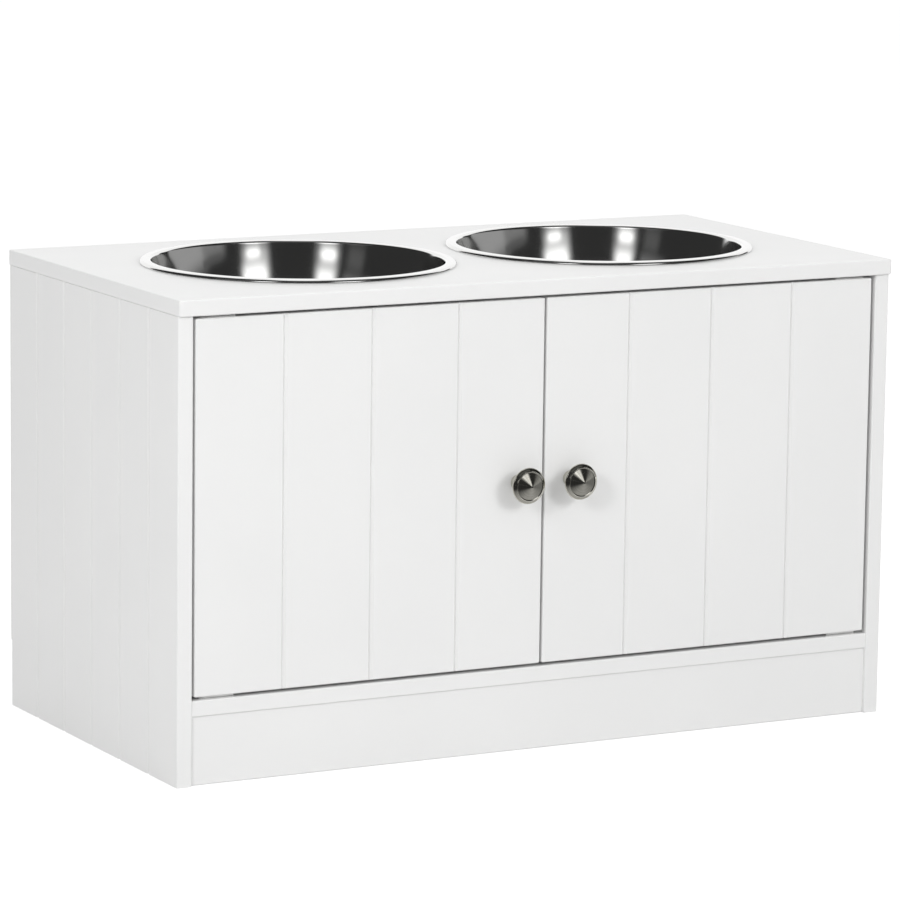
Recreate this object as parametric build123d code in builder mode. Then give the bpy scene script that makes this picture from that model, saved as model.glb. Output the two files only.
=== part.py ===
from build123d import *
import os
from math import sqrt

# Raised dog feeder: a grooved white cabinet with two doors, and two steel bowls
# dropped into its top. Millimetres. +X is the cabinet's right as its user faces it,
# +Y goes from the front to the back and +Z is up. The origin is at the middle of the
# whole object's box, knobs and nail heads included, on the floor.

# ---- Overall sizes ----
top_width = 600.0
top_depth = 310.0
stand_height = 355.0

# ---- Boards ----
board = 12.0
back_board = 3.0
side_overhang = 0.5
front_overhang = 3.0
plinth_height = 51.0
shelf_recess = 1.5
plinth_recess = 3.0
back_inset = 1.0
edge_round = 1.2
corner_round = 2.0
groove_depth = 2.0
side_planks = 6
door_planks = 4

# ---- Doors ----
door_recess = 1.5
door_side_gap = 2.5
door_middle_gap = 2.0

# ---- Pivot hinges ----
leaf_thickness = 1.0
leaf_gap = 0.4
leaf_end_radius = 5.0
leaf_reach = 22.0
leaf_corner = 1.5
pivot_inset = 10.0
pin_radius = 2.0
pin_tip = 0.6
pin_head_radius = 3.2
pin_head_thickness = 0.9
pin_relief_radius = 3.0
pin_relief_depth = 2.5
hinge_screw_places = (9.5, 17.5)

# ---- Countersunk and pan-head screws ----
small_head_radius = 2.5
small_shank_radius = 1.5
small_screw_length = 10.0
small_screw_tip = 2.0
knob_screw_radius = 2.0
knob_screw_head_radius = 4.0
knob_screw_head_height = 2.4
knob_screw_bite = 8.0

# ---- Knobs ----
knob_offset = 21.1
knob_height = 204.0
knob_length = 22.9
knob_base_radius = 6.0
knob_neck_radius = 5.2
knob_neck_length = 5.5
knob_flare_radius = 8.2
knob_flare_place = 13.0
knob_rim_radius = 13.6
knob_rim_back = 16.6
knob_rim_front = 17.4
knob_shoulder_radius = 11.2
knob_shoulder_place = 19.2
knob_bead_radius = 10.9
knob_bead_place = 19.7
knob_cone_radius = 10.2
knob_cone_place = 19.3
knob_tip_radius = 0.6

# ---- Bowls ----
bowl_spacing = 260.0
bowl_mouth_radius = 110.7
bowl_waist_inset = 3.6
bowl_floor_inset = 20.7
bowl_waist_depth = 21.0
bowl_depth = 66.0
bowl_wall = 0.8
bowl_flange = 8.5
bowl_crown = 3.2
bowl_edge_drop = 1.0
bowl_floor_bend = 22.0
bowl_waist_bend = 190.0
bowl_mouth_bend = 2.4
bowl_edge_bend = 1.9
bowl_hole_clearance = 2.7
hole_round = 0.8

# ---- Magnetic catches ----
catch_offset = 22.5
catch_flange_length = 42.0
catch_flange_thickness = 2.5
catch_body_length = 24.0
catch_depth = 13.0
catch_drop = 12.5
catch_round = 0.8
catch_screw_offset = 16.5
magnet_length = 18.0
magnet_height = 4.0
magnet_depth = 9.0
pole_thickness = 1.0
pole_stand_out = 0.5
strike_length = 22.0
strike_height = 9.0
strike_thickness = 1.0
strike_air_gap = 0.3

# ---- Hidden fixings of the boards ----
cam_radius = 7.4
cam_height = 9.2
cam_slot_width = 1.4
cam_slot_depth = 2.5
cam_distance = 24.0
cam_bolt_radius = 3.2
cam_bolt_neck_radius = 1.8
cam_bolt_thread_radius = 2.5
cam_bolt_bite = 8.0
cam_bolt_head_length = 3.0
cam_bolt_channel_radius = 3.8
dowel_radius = 3.0
dowel_length = 25.0
dowel_bite = 8.0
dowel_chamfer = 0.8
plinth_cam_height = 15.0
plinth_dowel_height = 34.0
plinth_top_dowels = 3
plinth_top_dowel_pitch = 180.0
nail_radius = 0.8
nail_length = 18.0
nail_head_radius = 2.4
nail_head_thickness = 0.8
nail_point = 2.0
nail_end_margin = 14.0
side_nails = 5
shelf_nails = 3

# ---- Fits ----
running_fit = 0.08
snug_fit = 0.03
loose_fit = 0.25

# ---- Places worked out from the sizes above ----
top_underside = stand_height - board
shelf_top = plinth_height + board
carcass_width = top_width - 2 * side_overhang
side_depth = top_depth - front_overhang - back_board
inner_half = carcass_width / 2 - board
side_middle = carcass_width / 2 - board / 2

front_reach = knob_length - front_overhang - door_recess
top_middle_y = (front_reach - nail_head_thickness) / 2
top_front_y = top_middle_y - top_depth / 2
carcass_front_y = top_front_y + front_overhang
carcass_back_y = carcass_front_y + side_depth
door_front_y = carcass_front_y + door_recess
door_back_y = door_front_y + board
plinth_middle_y = carcass_front_y + plinth_recess + board / 2

hinge_gap = 2 * leaf_thickness + leaf_gap
door_bottom = shelf_top + hinge_gap
door_top = top_underside - hinge_gap
door_outer = inner_half - door_side_gap
door_inner = door_middle_gap / 2
door_width = door_outer - door_inner
pivot_x = door_outer - pivot_inset
pivot_y = door_front_y + board / 2

side_plank = side_depth / side_planks
door_plank = door_width / door_planks
cam_rows = [carcass_front_y + 1.5 * side_plank, carcass_back_y - 1.5 * side_plank]
dowel_rows = [carcass_front_y + 0.5 * side_plank, carcass_back_y - 0.5 * side_plank]
shelf_middle_z = plinth_height + board / 2
cam_pocket_radius = cam_radius + loose_fit
cam_pocket_depth = cam_height + loose_fit

knob_x = door_inner + knob_offset
pole_y = door_back_y + strike_thickness + strike_air_gap
catch_y = pole_y + pole_stand_out
strike_z = door_top - edge_round - strike_height / 2

SIDES = {"left": -1, "right": 1}
LEVELS = {"lower": False, "upper": True}
UP = (0, 0, 1)
DOWN = (0, 0, -1)
FORWARD = (0, -1, 0)
BACK = (0, 1, 0)
ALONG = (1, 0, 0)


def outward(side):
    """Direction from the cabinet's middle towards its left or right side."""
    return (side, 0, 0)


def inward(side):
    """Direction from the left or right side towards the cabinet's middle."""
    return (-side, 0, 0)


def board_between(x_limits, y_limits, z_limits):
    """Adds a square-edged board that fills the space between pairs of limits."""
    width, depth = x_limits[1] - x_limits[0], y_limits[1] - y_limits[0]
    with BuildSketch(Plane.XY.offset(z_limits[0])) as outline:
        with Locations((x_limits[0] + width / 2, y_limits[0] + depth / 2)):
            Rectangle(width, depth)
    extrude(outline.sketch, amount=z_limits[1] - z_limits[0])


def turned(place, direction, outline, mode=Mode.ADD):
    """Turns an outline of (radius, distance) points about an axis from a place."""
    axis_plane = Plane(origin=place, z_dir=direction)
    section = Plane(origin=place, x_dir=axis_plane.x_dir, z_dir=-axis_plane.y_dir)
    with BuildSketch(section) as half:
        with BuildLine():
            Polyline(*outline, close=True)
        make_face()
    revolve(half.sketch, axis=Axis(place, direction), mode=mode)


def bore(place, direction, radius, depth):
    """Cuts a round hole from a place, along a direction into the material."""
    with BuildSketch(Plane(origin=place, z_dir=direction)) as mouth:
        Circle(radius)
    extrude(mouth.sketch, amount=depth, mode=Mode.SUBTRACT)


def countersunk_outline(fit=0.0):
    """Outline of the small countersunk screw, or of its hole with a fit added."""
    length = small_screw_length + fit
    head_depth = small_head_radius - small_shank_radius
    return [
        (0, 0),
        (small_head_radius + fit, 0),
        (small_shank_radius + fit, head_depth),
        (small_shank_radius + fit, length - small_screw_tip),
        (0, length),
    ]


def v_grooves(places, z_limits):
    """Cuts upright right-angled grooves at places (x, y) on a board's face."""
    square = groove_depth * sqrt(2)
    with BuildSketch(Plane.XY.offset(z_limits[0])) as grooves:
        with Locations(*places):
            Rectangle(square, square, rotation=45)
    extrude(grooves.sketch, amount=z_limits[1] - z_limits[0], mode=Mode.SUBTRACT)


# ---- Places of the hidden fixings: (place, direction into the joined board) ----
def side_top_cams(side):
    """Cams in a side panel's inner face, below the top panel."""
    return [(side * inner_half, y, top_underside - cam_distance) for y in cam_rows]


def top_bolt_seats(side):
    """Where the cam bolts leave the top panel's underside."""
    return [(side * side_middle, y, top_underside) for y in cam_rows]


def top_dowel_seats(side):
    """Where the dowels leave the top panel's underside."""
    return [(side * side_middle, y, top_underside) for y in dowel_rows]


def shelf_cam_places(side):
    """Cams in the shelf's underside, near a side panel."""
    return [(side * (inner_half - cam_distance), y, plinth_height) for y in cam_rows]


def shelf_bolt_seats(side):
    """Where the shelf's cam bolts leave a side panel's inner face."""
    return [(side * inner_half, y, shelf_middle_z) for y in cam_rows]


def shelf_dowel_seats(side):
    """Where the shelf's dowels leave a side panel's inner face."""
    return [(side * inner_half, y, shelf_middle_z) for y in dowel_rows]


def plinth_bolt_seat(side):
    """Where the plinth's cam bolt leaves a side panel's inner face."""
    return (side * inner_half, plinth_middle_y, plinth_cam_height)


def plinth_dowel_seat(side):
    """Where the plinth's end dowel leaves a side panel's inner face."""
    return (side * inner_half, plinth_middle_y, plinth_dowel_height)


def plinth_cam_place(side):
    """Cam in the plinth's rear face, near a side panel."""
    x = side * (inner_half - cam_distance)
    return (x, plinth_middle_y + board / 2, plinth_cam_height)


plinth_top_dowel_seats = [
    ((index - (plinth_top_dowels - 1) / 2) * plinth_top_dowel_pitch, plinth_middle_y, plinth_height)
    for index in range(plinth_top_dowels)
]


def bolt_channel(seat, direction):
    """Cuts a cam bolt's channel from a board's edge to just past the cam."""
    bore(seat, direction, cam_bolt_channel_radius, cam_distance + cam_bolt_head_length)


def bolt_socket(seat, direction):
    """Cuts the hole that a cam bolt's thread is driven into."""
    bore(seat, direction, cam_bolt_thread_radius + snug_fit, cam_bolt_bite + snug_fit)


def dowel_hole(seat, direction, depth):
    """Cuts one board's share of a dowel's hole."""
    bore(seat, direction, dowel_radius + snug_fit, depth + snug_fit)


def cam_lock(place, direction, bolt_direction):
    """Adds a cam lock sunk from a face, open towards the bolt that it pulls on."""
    plane = Plane(origin=place, z_dir=direction)
    with BuildSketch(plane) as drum:
        Circle(cam_radius)
    extrude(drum.sketch, amount=cam_height)
    with BuildSketch(plane) as cross:
        for angle in (0, 90):
            Rectangle(cam_radius, cam_slot_width, rotation=angle)
    extrude(cross.sketch, amount=cam_slot_depth, mode=Mode.SUBTRACT)
    bolt_line = Vector(place) + Vector(direction) * (board / 2)
    start = bolt_line - Vector(bolt_direction) * cam_radius
    bore(tuple(start), bolt_direction, cam_bolt_channel_radius, cam_radius + cam_bolt_head_length)


def cam_bolt(seat, direction):
    """Adds a cam bolt: its thread behind the seat, its neck and head beyond it."""
    head_end = cam_distance + cam_bolt_head_length / 2
    turned(seat, direction, [
        (0, -cam_bolt_bite),
        (cam_bolt_thread_radius, -cam_bolt_bite),
        (cam_bolt_thread_radius, 0),
        (cam_bolt_radius, 0),
        (cam_bolt_radius, cam_distance - cam_radius - cam_bolt_head_length),
        (cam_bolt_neck_radius, cam_distance - cam_radius),
        (cam_bolt_neck_radius, head_end - cam_bolt_head_length),
        (cam_bolt_radius, head_end - cam_bolt_head_length),
        (cam_bolt_radius, head_end),
        (0, head_end),
    ])


def dowel(seat, direction):
    """Adds a chamfered dowel that bites into the board behind its seat."""
    front = dowel_length - dowel_bite
    turned(seat, direction, [
        (0, -dowel_bite),
        (dowel_radius - dowel_chamfer, -dowel_bite),
        (dowel_radius, dowel_chamfer - dowel_bite),
        (dowel_radius, front - dowel_chamfer),
        (dowel_radius - dowel_chamfer, front),
        (0, front),
    ])


# ---- Places of the hinges, catches and nails ----
def hinge_seat(side, on_top):
    """Pivot of a hinge, on the board that carries it."""
    return (side * pivot_x, pivot_y, top_underside if on_top else shelf_top)


def door_hinge_seat(side, on_top):
    """Pivot of a hinge, on the door's edge."""
    return (side * pivot_x, pivot_y, door_top if on_top else door_bottom)


def hinge_screw_heads(seat, side, leaf_side):
    """Middle of each screw head on the open face of a leaf."""
    x, y, z = seat
    return [(x - side * place, y, z + leaf_side * leaf_thickness) for place in hinge_screw_places]


def nail_places():
    """Heads of the nails that hold the back panel to the side panels and the shelf."""
    lowest = plinth_height + nail_end_margin
    pitch = (top_underside - nail_end_margin - lowest) / (side_nails - 1)
    places = []
    for side in SIDES.values():
        for index in range(side_nails):
            places.append((side * side_middle, carcass_back_y + back_board, lowest + index * pitch))
    shelf_pitch = carcass_width / (shelf_nails + 1)
    for index in range(shelf_nails):
        x = (index + 1) * shelf_pitch - carcass_width / 2
        places.append((x, carcass_back_y + back_board, shelf_middle_z))
    return places


def nail_outline(fit=0.0):
    """Outline of a nail from its head's underside, or of its hole with a fit added."""
    return [
        (0, 0),
        (nail_radius + fit, 0),
        (nail_radius + fit, nail_length - nail_point),
        (0, nail_length + fit),
    ]


def side_catch_screws(side):
    """Heads of the two screws that hold a catch to the top panel."""
    y = catch_y + catch_depth / 2
    z = top_underside - catch_flange_thickness
    return [(side * catch_offset + step, y, z) for step in (-catch_screw_offset, catch_screw_offset)]


def strike_screw_head(side):
    """Head of the screw in the middle of a strike plate."""
    return (side * catch_offset, door_back_y + strike_thickness, strike_z)


bowl_hole_radius = bowl_mouth_radius + bowl_wall + bowl_hole_clearance

# ---- Top panel ----
with BuildPart() as top_panel:
    board_between(
        (-top_width / 2, top_width / 2),
        (top_front_y, top_front_y + top_depth),
        (top_underside, stand_height),
    )
    fillet(top_panel.edges().filter_by(Axis.Z), radius=corner_round)
    fillet(top_panel.faces().sort_by(Axis.Z)[-1].edges(), radius=edge_round)
    fillet(top_panel.faces().sort_by(Axis.Z)[0].edges(), radius=edge_round)
    for side in SIDES.values():
        bore((side * bowl_spacing / 2, top_middle_y, stand_height), DOWN, bowl_hole_radius, board)
    mouths = top_panel.faces().sort_by(Axis.Z)[-1].inner_wires().edges()
    fillet(mouths, radius=hole_round)
    for side in SIDES.values():
        for seat in top_bolt_seats(side):
            bolt_socket(seat, UP)
        for seat in top_dowel_seats(side):
            dowel_hole(seat, UP, dowel_bite)
        for head in side_catch_screws(side):
            turned(head, UP, countersunk_outline(snug_fit), Mode.SUBTRACT)
        seat = hinge_seat(side, on_top=True)
        bore(seat, UP, pin_head_radius + loose_fit, pin_head_thickness + loose_fit)
        for head in hinge_screw_heads(seat, side, -1):
            turned(head, UP, countersunk_outline(snug_fit), Mode.SUBTRACT)
pieces = {"top_panel": top_panel}

# ---- Side panels, each with its planks' grooves on the outside ----
for side_name, side in SIDES.items():
    outer_x = side * carcass_width / 2
    with BuildPart() as side_panel:
        board_between(
            sorted((outer_x, side * inner_half)),
            (carcass_front_y, carcass_back_y),
            (0, top_underside),
        )
        uprights = side_panel.edges().filter_by(Axis.Z).group_by(Axis.Y)
        fillet(uprights[0] + uprights[-1], radius=edge_round)
        v_grooves(
            [(outer_x, carcass_front_y + index * side_plank) for index in range(1, side_planks)],
            (0, top_underside),
        )
        for place in side_top_cams(side):
            bore(place, outward(side), cam_pocket_radius, cam_pocket_depth)
        for seat in top_bolt_seats(side):
            bolt_channel(seat, DOWN)
        for seat in top_dowel_seats(side):
            dowel_hole(seat, DOWN, dowel_length - dowel_bite)
        for seat in shelf_bolt_seats(side) + [plinth_bolt_seat(side)]:
            bolt_socket(seat, outward(side))
        for seat in shelf_dowel_seats(side) + [plinth_dowel_seat(side)]:
            dowel_hole(seat, outward(side), dowel_bite)
        for place in nail_places():
            if place[0] == side * side_middle:
                seat = (place[0], place[1] - back_board, place[2])
                bore(seat, FORWARD, nail_radius + snug_fit, nail_length - back_board + snug_fit)
    pieces[f"{side_name}_side_panel"] = side_panel

# ---- Bottom shelf ----
with BuildPart() as bottom_shelf:
    board_between(
        (-inner_half, inner_half),
        (carcass_front_y + shelf_recess, carcass_back_y),
        (plinth_height, shelf_top),
    )
    fillet(bottom_shelf.edges().filter_by(Axis.X).group_by(Axis.Y)[0], radius=edge_round)
    for side in SIDES.values():
        for place in shelf_cam_places(side):
            bore(place, UP, cam_pocket_radius, cam_pocket_depth)
        for seat in shelf_bolt_seats(side):
            bolt_channel(seat, inward(side))
        for seat in shelf_dowel_seats(side):
            dowel_hole(seat, inward(side), dowel_length - dowel_bite)
        seat = hinge_seat(side, on_top=False)
        bore(seat, DOWN, pin_head_radius + loose_fit, pin_head_thickness + loose_fit)
        for head in hinge_screw_heads(seat, side, 1):
            turned(head, DOWN, countersunk_outline(snug_fit), Mode.SUBTRACT)
    for seat in plinth_top_dowel_seats:
        dowel_hole(seat, UP, dowel_bite)
    for place in nail_places():
        if place[2] == shelf_middle_z:
            seat = (place[0], place[1] - back_board, place[2])
            bore(seat, FORWARD, nail_radius + snug_fit, nail_length - back_board + snug_fit)
pieces["bottom_shelf"] = bottom_shelf

# ---- Plinth ----
with BuildPart() as plinth:
    board_between(
        (-inner_half, inner_half),
        (plinth_middle_y - board / 2, plinth_middle_y + board / 2),
        (0, plinth_height),
    )
    fillet(plinth.edges().filter_by(Axis.X).group_by(Axis.Y)[0].sort_by(Axis.Z)[:1], radius=edge_round)
    for side in SIDES.values():
        bore(plinth_cam_place(side), FORWARD, cam_pocket_radius, cam_pocket_depth)
        bolt_channel(plinth_bolt_seat(side), inward(side))
        dowel_hole(plinth_dowel_seat(side), inward(side), dowel_length - dowel_bite)
    for seat in plinth_top_dowel_seats:
        dowel_hole(seat, DOWN, dowel_length - dowel_bite)
pieces["plinth"] = plinth

# ---- Back panel, nailed on ----
with BuildPart() as back_panel:
    board_between(
        (back_inset - carcass_width / 2, carcass_width / 2 - back_inset),
        (carcass_back_y, carcass_back_y + back_board),
        (plinth_height, top_underside),
    )
    for place in nail_places():
        bore(place, FORWARD, nail_radius + snug_fit, back_board)
pieces["back_panel"] = back_panel

with BuildPart() as back_panel_nails:
    for place in nail_places():
        turned(place, FORWARD, nail_outline())
        turned(place, BACK, [
            (0, 0),
            (nail_head_radius, 0),
            (nail_head_radius, nail_head_thickness / 2),
            (nail_head_radius - nail_head_thickness / 2, nail_head_thickness),
            (0, nail_head_thickness),
        ])
pieces["back_panel_nails"] = back_panel_nails

# ---- Cam locks, cam bolts and dowels ----
with BuildPart() as side_panel_cams:
    for side in SIDES.values():
        for place in side_top_cams(side):
            cam_lock(place, outward(side), DOWN)
pieces["side_panel_cams"] = side_panel_cams

with BuildPart() as shelf_cams:
    for side in SIDES.values():
        for place in shelf_cam_places(side):
            cam_lock(place, UP, inward(side))
pieces["shelf_cams"] = shelf_cams

with BuildPart() as plinth_cams:
    for side in SIDES.values():
        cam_lock(plinth_cam_place(side), FORWARD, inward(side))
pieces["plinth_cams"] = plinth_cams

with BuildPart() as top_cam_bolts:
    for side in SIDES.values():
        for seat in top_bolt_seats(side):
            cam_bolt(seat, DOWN)
pieces["top_cam_bolts"] = top_cam_bolts

with BuildPart() as shelf_cam_bolts:
    for side in SIDES.values():
        for seat in shelf_bolt_seats(side):
            cam_bolt(seat, inward(side))
pieces["shelf_cam_bolts"] = shelf_cam_bolts

with BuildPart() as plinth_cam_bolts:
    for side in SIDES.values():
        cam_bolt(plinth_bolt_seat(side), inward(side))
pieces["plinth_cam_bolts"] = plinth_cam_bolts

with BuildPart() as top_dowels:
    for side in SIDES.values():
        for seat in top_dowel_seats(side):
            dowel(seat, DOWN)
pieces["top_dowels"] = top_dowels

with BuildPart() as shelf_dowels:
    for side in SIDES.values():
        for seat in shelf_dowel_seats(side):
            dowel(seat, inward(side))
pieces["shelf_dowels"] = shelf_dowels

with BuildPart() as plinth_dowels:
    for side in SIDES.values():
        dowel(plinth_dowel_seat(side), inward(side))
    for seat in plinth_top_dowel_seats:
        dowel(seat, DOWN)
pieces["plinth_dowels"] = plinth_dowels


# ---- Pivot hinges: a leaf on the cabinet, a leaf on the door and a headed pin ----
def hinge_leaf(seat, side, leaf_side, pin_hole_radius):
    """Adds a leaf that lies on its seat, drilled for the pin and its two screws."""
    plane = Plane(origin=seat, x_dir=inward(side), z_dir=(0, 0, leaf_side))
    with BuildSketch(plane) as leaf:
        with Locations((leaf_reach / 2, 0)):
            tail = Rectangle(leaf_reach, 2 * leaf_end_radius)
        fillet(tail.vertices().group_by(Axis.X)[-1], radius=leaf_corner)
        Circle(leaf_end_radius)
        Circle(pin_hole_radius, mode=Mode.SUBTRACT)
    extrude(leaf.sketch, amount=leaf_thickness)
    for head in hinge_screw_heads(seat, side, leaf_side):
        turned(head, (0, 0, -leaf_side), countersunk_outline(snug_fit), Mode.SUBTRACT)


for side_name, side in SIDES.items():
    for level_name, on_top in LEVELS.items():
        into_cabinet = -1 if on_top else 1
        with BuildPart() as cabinet_leaf:
            hinge_leaf(hinge_seat(side, on_top), side, into_cabinet, pin_radius + snug_fit)
        pieces[f"{side_name}_{level_name}_cabinet_hinge_leaf"] = cabinet_leaf
        with BuildPart() as door_leaf:
            hinge_leaf(door_hinge_seat(side, on_top), side, -into_cabinet, pin_radius + running_fit)
        pieces[f"{side_name}_{level_name}_door_hinge_leaf"] = door_leaf

with BuildPart() as hinge_pins:
    for side in SIDES.values():
        for on_top in LEVELS.values():
            seat = hinge_seat(side, on_top)
            direction = DOWN if on_top else UP
            tip = hinge_gap + pin_tip
            turned(seat, direction, [
                (0, -pin_head_thickness),
                (pin_head_radius, -pin_head_thickness),
                (pin_head_radius, 0),
                (pin_radius, 0),
                (pin_radius, tip),
                (0, tip),
            ])
pieces["hinge_pins"] = hinge_pins

with BuildPart() as cabinet_hinge_screws:
    for side in SIDES.values():
        for head in hinge_screw_heads(hinge_seat(side, True), side, -1):
            turned(head, UP, countersunk_outline())
        for head in hinge_screw_heads(hinge_seat(side, False), side, 1):
            turned(head, DOWN, countersunk_outline())
pieces["cabinet_hinge_screws"] = cabinet_hinge_screws

# ---- Doors and what is fixed to them ----
for side_name, side in SIDES.items():
    knob_place = (side * knob_x, door_front_y, knob_height)
    with BuildPart() as door:
        board_between(
            sorted((side * door_inner, side * door_outer)),
            (door_front_y, door_back_y),
            (door_bottom, door_top),
        )
        fillet(door.edges(), radius=edge_round)
        v_grooves(
            [(side * (door_inner + index * door_plank), door_front_y) for index in range(1, door_planks)],
            (door_bottom, door_top),
        )
        for on_top in LEVELS.values():
            into_door = DOWN if on_top else UP
            seat = door_hinge_seat(side, on_top)
            bore(seat, into_door, pin_relief_radius, pin_relief_depth)
            for head in hinge_screw_heads(seat, side, 1 if on_top else -1):
                turned(head, into_door, countersunk_outline(snug_fit), Mode.SUBTRACT)
        bore(knob_place, BACK, knob_screw_radius + loose_fit, board)
        turned(strike_screw_head(side), FORWARD, countersunk_outline(snug_fit), Mode.SUBTRACT)
    pieces[f"{side_name}_door"] = door

    with BuildPart() as door_hinge_screws:
        for on_top in LEVELS.values():
            into_door = DOWN if on_top else UP
            seat = door_hinge_seat(side, on_top)
            for head in hinge_screw_heads(seat, side, 1 if on_top else -1):
                turned(head, into_door, countersunk_outline())
    pieces[f"{side_name}_door_hinge_screws"] = door_hinge_screws

    with BuildPart() as knob:
        turned(knob_place, FORWARD, [
            (0, 0),
            (knob_base_radius, 0),
            (knob_neck_radius, knob_neck_length),
            (knob_flare_radius, knob_flare_place),
            (knob_rim_radius, knob_rim_back),
            (knob_rim_radius, knob_rim_front),
            (knob_shoulder_radius, knob_shoulder_place),
            (knob_bead_radius, knob_bead_place),
            (knob_cone_radius, knob_cone_place),
            (knob_tip_radius, knob_length),
            (0, knob_length),
        ])
        bore(knob_place, FORWARD, knob_screw_radius + snug_fit, knob_screw_bite + loose_fit)
    pieces[f"{side_name}_knob"] = knob

    with BuildPart() as knob_screw:
        turned((side * knob_x, door_back_y, knob_height), FORWARD, [
            (0, -knob_screw_head_height),
            (knob_screw_head_radius - knob_screw_head_height / 2, -knob_screw_head_height),
            (knob_screw_head_radius, -knob_screw_head_height / 2),
            (knob_screw_head_radius, 0),
            (knob_screw_radius, 0),
            (knob_screw_radius, board + knob_screw_bite),
            (0, board + knob_screw_bite),
        ])
    pieces[f"{side_name}_knob_screw"] = knob_screw

    with BuildPart() as strike_plate:
        board_between(
            (side * catch_offset - strike_length / 2, side * catch_offset + strike_length / 2),
            (door_back_y, door_back_y + strike_thickness),
            (strike_z - strike_height / 2, strike_z + strike_height / 2),
        )
        fillet(strike_plate.edges().filter_by(Axis.Y), radius=leaf_corner)
        turned(strike_screw_head(side), FORWARD, countersunk_outline(snug_fit), Mode.SUBTRACT)
    pieces[f"{side_name}_strike_plate"] = strike_plate

    with BuildPart() as strike_screw:
        turned(strike_screw_head(side), FORWARD, countersunk_outline())
    pieces[f"{side_name}_strike_screw"] = strike_screw

# ---- Magnetic catches under the top panel ----
magnet_pack_height = magnet_height + 2 * pole_thickness
for side_name, side in SIDES.items():
    middle_x = side * catch_offset
    magnet_x = (middle_x - magnet_length / 2, middle_x + magnet_length / 2)
    pocket_back_y = pole_y + magnet_depth + pole_stand_out
    with BuildPart() as catch_housing:
        board_between(
            (middle_x - catch_flange_length / 2, middle_x + catch_flange_length / 2),
            (catch_y, catch_y + catch_depth),
            (top_underside - catch_flange_thickness, top_underside),
        )
        board_between(
            (middle_x - catch_body_length / 2, middle_x + catch_body_length / 2),
            (catch_y, catch_y + catch_depth),
            (top_underside - catch_drop, top_underside - catch_flange_thickness),
        )
        uprights = catch_housing.edges().filter_by(Axis.Z)
        fillet(uprights, radius=catch_round)
        with BuildSketch(Plane(origin=(middle_x, catch_y, strike_z), x_dir=ALONG, z_dir=BACK)):
            Rectangle(magnet_length + 2 * snug_fit, magnet_pack_height + 2 * snug_fit)
        extrude(amount=pocket_back_y - catch_y + snug_fit, mode=Mode.SUBTRACT)
        for head in side_catch_screws(side):
            turned(head, UP, countersunk_outline(snug_fit), Mode.SUBTRACT)
    pieces[f"{side_name}_catch_housing"] = catch_housing

    with BuildPart() as catch_magnet:
        board_between(
            magnet_x,
            (catch_y, pocket_back_y),
            (strike_z - magnet_height / 2, strike_z + magnet_height / 2),
        )
    pieces[f"{side_name}_catch_magnet"] = catch_magnet

    with BuildPart() as pole_plates:
        for level in (-1, 1):
            near = strike_z + level * magnet_height / 2
            board_between(
                magnet_x, (pole_y, pocket_back_y), sorted((near, near + level * pole_thickness))
            )
    pieces[f"{side_name}_catch_pole_plates"] = pole_plates

with BuildPart() as catch_screws:
    for side in SIDES.values():
        for head in side_catch_screws(side):
            turned(head, UP, countersunk_outline())
pieces["catch_screws"] = catch_screws

# ---- Bowls: pressed from one sheet, the wall slightly bellied, the flange's edge turned down ----
bowl_edge_radius = bowl_mouth_radius + bowl_flange
bowl_waist_radius = bowl_mouth_radius - bowl_waist_inset
bowl_floor_radius = bowl_mouth_radius - bowl_floor_inset
bowl_crown_z = stand_height + bowl_crown
bowl_edge_z = bowl_crown_z - bowl_edge_drop
for side_name, side in SIDES.items():
    bowl_axis = Axis((side * bowl_spacing / 2, top_middle_y, 0), UP)
    with BuildPart() as bowl:
        with BuildSketch(Plane(origin=bowl_axis.position, x_dir=ALONG, z_dir=FORWARD)):
            with BuildLine():
                FilletPolyline(
                    (0, bowl_crown_z - bowl_depth),
                    (bowl_floor_radius, bowl_crown_z - bowl_depth),
                    (bowl_waist_radius, bowl_crown_z - bowl_waist_depth),
                    (bowl_mouth_radius, bowl_crown_z),
                    (bowl_edge_radius, bowl_edge_z),
                    (bowl_edge_radius, stand_height),
                    radius=[bowl_floor_bend, bowl_waist_bend, bowl_mouth_bend, bowl_edge_bend],
                )
                offset(amount=bowl_wall, side=Side.RIGHT)
            make_face()
        revolve(axis=bowl_axis)
    pieces[f"{side_name}_bowl"] = bowl

# ---- One STEP file for each piece ----
os.makedirs("parts", exist_ok=True)
for name, piece in pieces.items():
    piece.part.label = name
    export_step(piece.part, f"parts/{name}.step")
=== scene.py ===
"""Raised dog feeder: boards, doors, knobs, bowls and ironmongery with their finishes.

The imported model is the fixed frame. Its right shapes keep their meshes and get a
finish here. Boards, doors, knobs and bowls get finer meshes in the same places.
"""

import logging
import math
from dataclasses import dataclass
from enum import Enum
from typing import Callable, Iterable, Optional, Sequence, Union

import bmesh
import bpy
from mathutils import Matrix, Vector


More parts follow.
